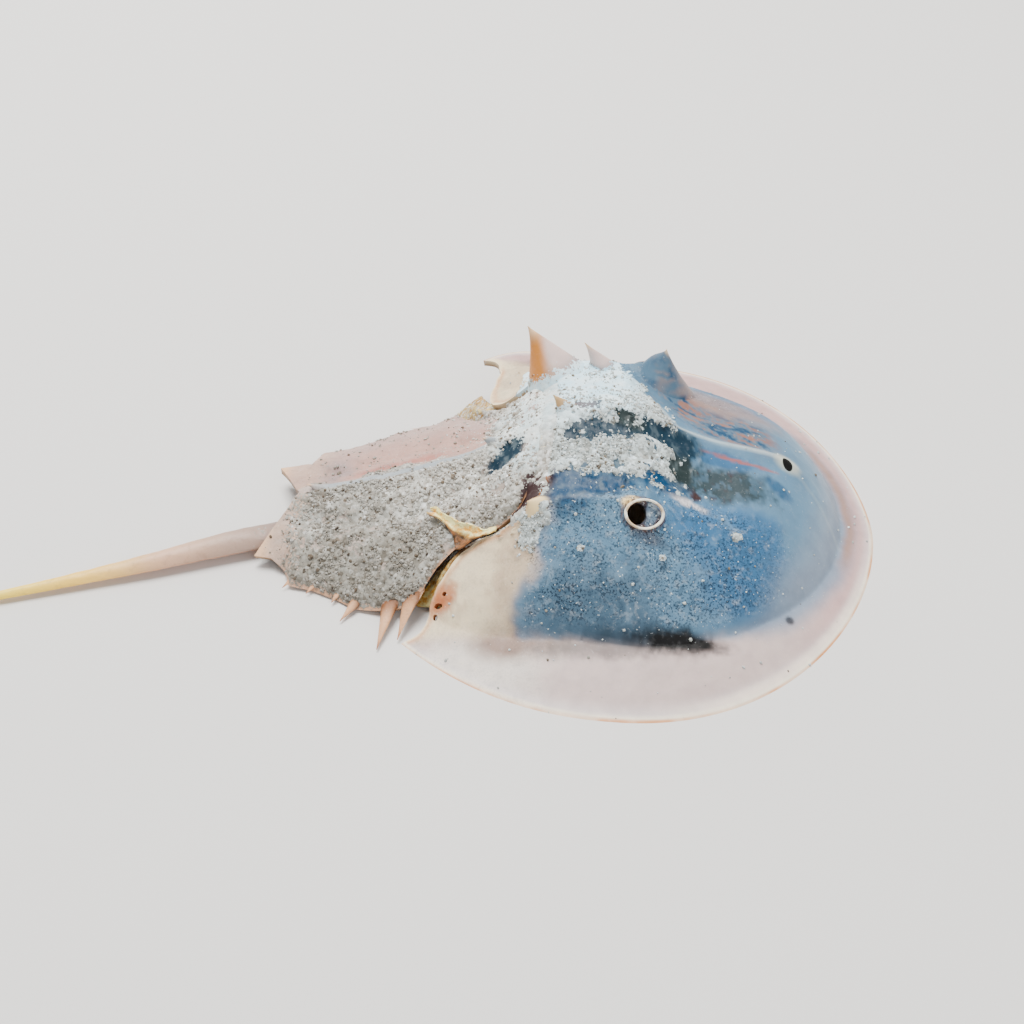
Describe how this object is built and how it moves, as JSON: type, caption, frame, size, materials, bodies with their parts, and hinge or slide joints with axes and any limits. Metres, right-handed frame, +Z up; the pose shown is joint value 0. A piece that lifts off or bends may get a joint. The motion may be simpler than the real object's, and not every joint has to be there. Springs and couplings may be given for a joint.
{
  "type": "horseshoe crab shell",
  "caption": "Dried horseshoe crab shell: domed head shield, spiny abdomen shield and a long tail spine, hollow below, resting on its flat rim.",
  "frame": {"origin": "on the surface the shell lies on, under the middle of its box", "axes": "+X towards the head, +Y towards the shell's left side, +Z up"},
  "size_m": [0.1721, 0.09, 0.0278],
  "materials": {
    "head_cuticle": "satin blue-grey cuticle with a lilac and cream flange and patches of sand crust",
    "abdomen_cuticle": "matt cuticle under a grey crust of sand grains",
    "dried_membrane": "brown dried skin, golden where it is torn",
    "tail_cuticle": "satin cream cuticle, greyish pink at the root"
  },
  "bodies": {
    "root": {"head_shield": "head_cuticle", "abdomen_shield": "abdomen_cuticle", "hinge_membrane": "dried_membrane", "tail_spine": "tail_cuticle"}
  },
  "joints": []
}
